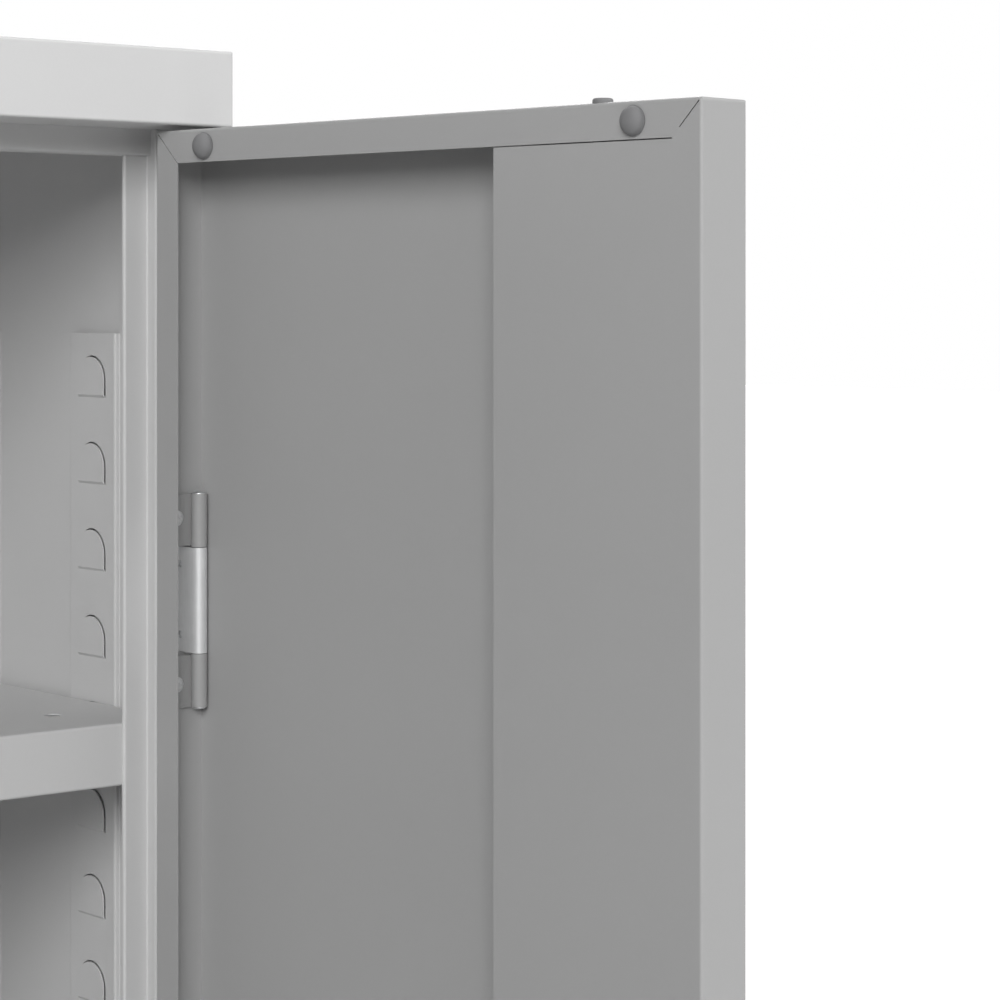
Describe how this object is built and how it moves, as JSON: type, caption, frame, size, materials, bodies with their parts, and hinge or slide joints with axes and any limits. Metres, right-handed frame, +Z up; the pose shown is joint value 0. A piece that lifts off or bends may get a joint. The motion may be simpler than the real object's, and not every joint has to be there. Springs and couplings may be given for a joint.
{
  "type": "locker cabinet",
  "caption": "Tall steel locker cabinet with two hinged doors, shelves hung on lanced tabs, a proud top cap and a rod lock turned by a lever handle.",
  "frame": {"origin": "on the floor at the centre of the cabinet's footprint, which is the centre of the four fixing holes in the base", "axes": "+Z up, +X to the right seen from the front, the doors face -Y; both doors stand open 96 degrees at rest"},
  "size_m": [0.8761, 0.7661, 1.8],
  "materials": {
    "carcass_paint": "light grey powder coat",
    "door_paint": "mid grey powder coat",
    "zinc": "bright zinc plating",
    "grey_plastic": "soft grey moulded plastic",
    "dark_plastic": "dark grey moulded plastic"
  },
  "bodies": {
    "carcass": {"top_cap": "carcass_paint", "base": "carcass_paint", "back_panel": "carcass_paint", "floor_panel": "carcass_paint", "top_rail": "carcass_paint", "right_side_panel": "carcass_paint", "left_side_panel": "carcass_paint", "right_jamb": "carcass_paint", "left_jamb": "carcass_paint", "right_front_upright": "carcass_paint", "right_rear_upright": "carcass_paint", "left_front_upright": "carcass_paint", "left_rear_upright": "carcass_paint", "shelf_1": "carcass_paint", "shelf_2": "carcass_paint", "shelf_3": "carcass_paint", "shelf_4": "carcass_paint", "shelf_ribs": "carcass_paint", "right_frame_leaf_top": "zinc", "right_frame_leaf_middle": "zinc", "right_frame_leaf_bottom": "zinc", "left_frame_leaf_top": "zinc", "left_frame_leaf_middle": "zinc", "left_frame_leaf_bottom": "zinc"},
    "right_door": {"right_door_panel": "door_paint", "right_door_leaves_top": "door_paint", "right_door_leaves_middle": "door_paint", "right_door_leaves_bottom": "door_paint", "right_hinge_pins": "zinc", "right_door_bumpers": "grey_plastic", "lock_case": "zinc", "lock_case_screws": "zinc", "handle_backplate": "dark_plastic", "backplate_screws": "zinc", "rod_guide_clips": "zinc", "rod_guide_bushes": "grey_plastic"},
    "left_door": {"left_door_panel": "door_paint", "left_door_leaves_top": "door_paint", "left_door_leaves_middle": "door_paint", "left_door_leaves_bottom": "door_paint", "left_hinge_pins": "zinc", "left_door_bumpers": "grey_plastic", "left_cover_strip": "door_paint"},
    "handle": {"lever_handle": "dark_plastic", "handle_spindle": "zinc", "lock_pinion": "zinc"},
    "key_plug": {"key_cylinder": "zinc"},
    "rod_up": {"upper_rod": "zinc", "upper_rod_tip": "grey_plastic"},
    "rod_down": {"lower_rod": "zinc", "lower_rod_tip": "grey_plastic"}
  },
  "joints": [
    {"name": "right_door_swing", "type": "hinge", "parent": "carcass", "child": "right_door", "pos_m": [0.3867, -0.1757, 0.909], "axis": [0, 0, 1], "range_deg": [-96, 9]},
    {"name": "left_door_swing", "type": "hinge", "parent": "carcass", "child": "left_door", "pos_m": [-0.3867, -0.1757, 0.909], "axis": [0, 0, -1], "range_deg": [-96, 9]},
    {"name": "handle_turn", "type": "hinge", "parent": "right_door", "child": "handle", "pos_m": [0.42001, -0.49265, 0.95], "axis": [-0.9945, -0.1045, 0], "range_deg": [0, 90]},
    {"name": "key_turn", "type": "hinge", "parent": "handle", "child": "key_plug", "pos_m": [0.42001, -0.49265, 0.95], "axis": [-0.9945, -0.1045, 0], "range_deg": [0, 90]},
    {"name": "upper_rod_slide", "type": "slide", "parent": "right_door", "child": "rod_up", "axis": [0, 0, 1], "range_m": [0, 0.0158]},
    {"name": "lower_rod_slide", "type": "slide", "parent": "right_door", "child": "rod_down", "axis": [0, 0, -1], "range_m": [0, 0.0158]}
  ],
  "couplings": [
    {"joint": "upper_rod_slide", "follows": "handle_turn", "m_per_rad": 0.01},
    {"joint": "lower_rod_slide", "follows": "handle_turn", "m_per_rad": 0.01}
  ]
}
